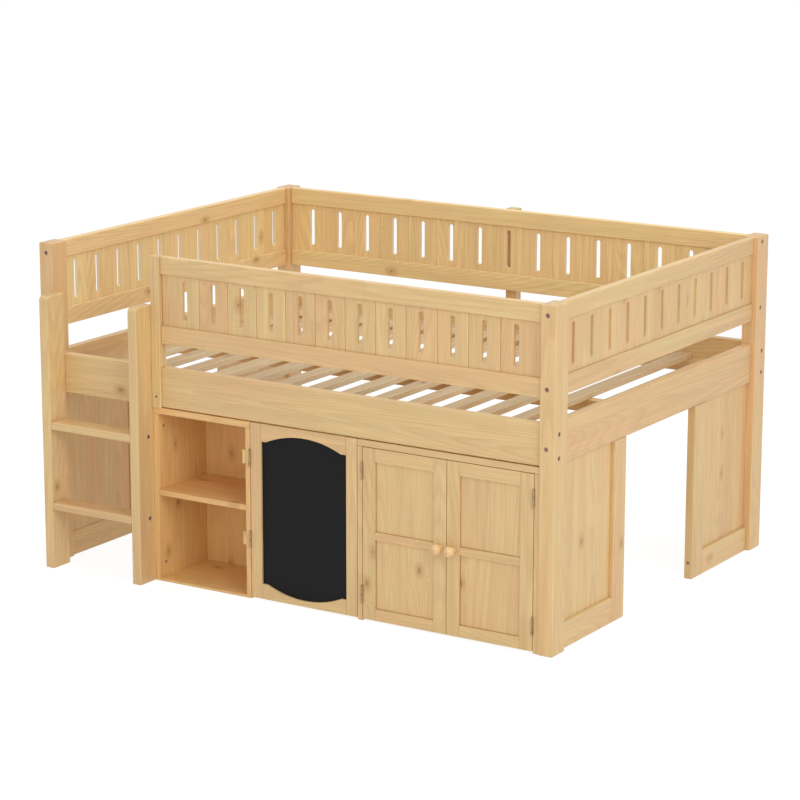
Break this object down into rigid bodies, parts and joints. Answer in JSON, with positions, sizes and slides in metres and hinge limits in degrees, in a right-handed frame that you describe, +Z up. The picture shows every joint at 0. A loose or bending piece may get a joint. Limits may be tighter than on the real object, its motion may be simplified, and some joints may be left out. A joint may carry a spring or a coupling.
{
  "type": "loft bed",
  "caption": "Low loft bed in pale pine with slotted guards and ladder, over open shelves, an arched blackboard door and a framed two-door wardrobe.",
  "frame": {"origin": "on the floor under the centre of the whole bed, ladder included", "axes": "+X along the bed to the right seen from the ladder side, +Y to the rear, +Z up"},
  "size_m": [2, 1.5558, 1.112],
  "materials": {
    "frame_pine": "clear satin lacquer on pale pine",
    "board_pine": "clear satin lacquer on pale pine boards",
    "slat_pine": "unfinished sawn softwood",
    "storage_pine": "clear satin lacquer on edge-glued pine",
    "door_pine": "clear satin lacquer on pale pine",
    "blackboard": "matt chalkboard paint",
    "bolt_steel": "blackened steel bolt heads",
    "hinge_steel": "plated steel butt hinges"
  },
  "bodies": {
    "bed_frame": {"front_left_post": "frame_pine", "front_right_post": "frame_pine", "rear_left_post": "frame_pine", "rear_right_post": "frame_pine", "front_rail": "frame_pine", "rear_rail": "frame_pine", "left_end_rail": "frame_pine", "right_end_rail": "frame_pine", "centre_beam": "frame_pine", "front_guard_lower_rail": "frame_pine", "front_guard_upper_rail": "frame_pine", "rear_guard_lower_rail": "frame_pine", "rear_guard_upper_rail": "frame_pine", "left_guard_lower_rail": "frame_pine", "left_guard_upper_rail": "frame_pine", "right_guard_lower_rail": "frame_pine", "right_guard_upper_rail": "frame_pine", "front_guard_post": "frame_pine", "rear_guard_post": "frame_pine", "left_front_panel_frame": "frame_pine", "left_rear_panel_frame": "frame_pine", "right_front_panel_frame": "frame_pine", "right_rear_panel_frame": "frame_pine", "ladder_left_stile": "frame_pine", "ladder_right_stile": "frame_pine", "ladder_lower_tread": "frame_pine", "ladder_upper_tread": "frame_pine", "front_guard_boards": "board_pine", "rear_guard_boards": "board_pine", "left_guard_boards": "board_pine", "right_guard_boards": "board_pine", "left_front_panel_boards": "board_pine", "left_rear_panel_boards": "board_pine", "right_front_panel_boards": "board_pine", "right_rear_panel_boards": "board_pine", "slat_deck": "slat_pine", "shelf_left_side": "storage_pine", "shelf_partition": "storage_pine", "shelf_top": "storage_pine", "shelf_middle": "storage_pine", "shelf_floor": "storage_pine", "shelf_back": "storage_pine", "wardrobe_left_side": "storage_pine", "wardrobe_right_side": "storage_pine", "wardrobe_top": "storage_pine", "wardrobe_floor": "storage_pine", "wardrobe_back": "storage_pine"},
    "left_door": {"left_door_frame": "door_pine", "left_door_lower_panel": "door_pine", "left_door_upper_panel": "door_pine", "left_door_knob": "door_pine"},
    "right_door": {"right_door_frame": "door_pine", "right_door_lower_panel": "door_pine", "right_door_upper_panel": "door_pine", "right_door_knob": "door_pine"},
    "board_door": {"board_door_frame": "door_pine", "blackboard": "blackboard"}
  },
  "joints": [
    {"name": "left_door_hinge", "type": "hinge", "parent": "bed_frame", "child": "left_door", "pos_m": [0.296, -0.6989, 0.29], "axis": [0, 0, -1], "range_deg": [0, 165]},
    {"name": "right_door_hinge", "type": "hinge", "parent": "bed_frame", "child": "right_door", "pos_m": [0.9257, -0.6989, 0.29], "axis": [0, 0, 1], "range_deg": [0, 165]},
    {"name": "board_door_hinge", "type": "hinge", "parent": "bed_frame", "child": "board_door", "pos_m": [-0.142, -0.6989, 0.3], "axis": [0, 0, -1], "range_deg": [0, 160]}
  ]
}
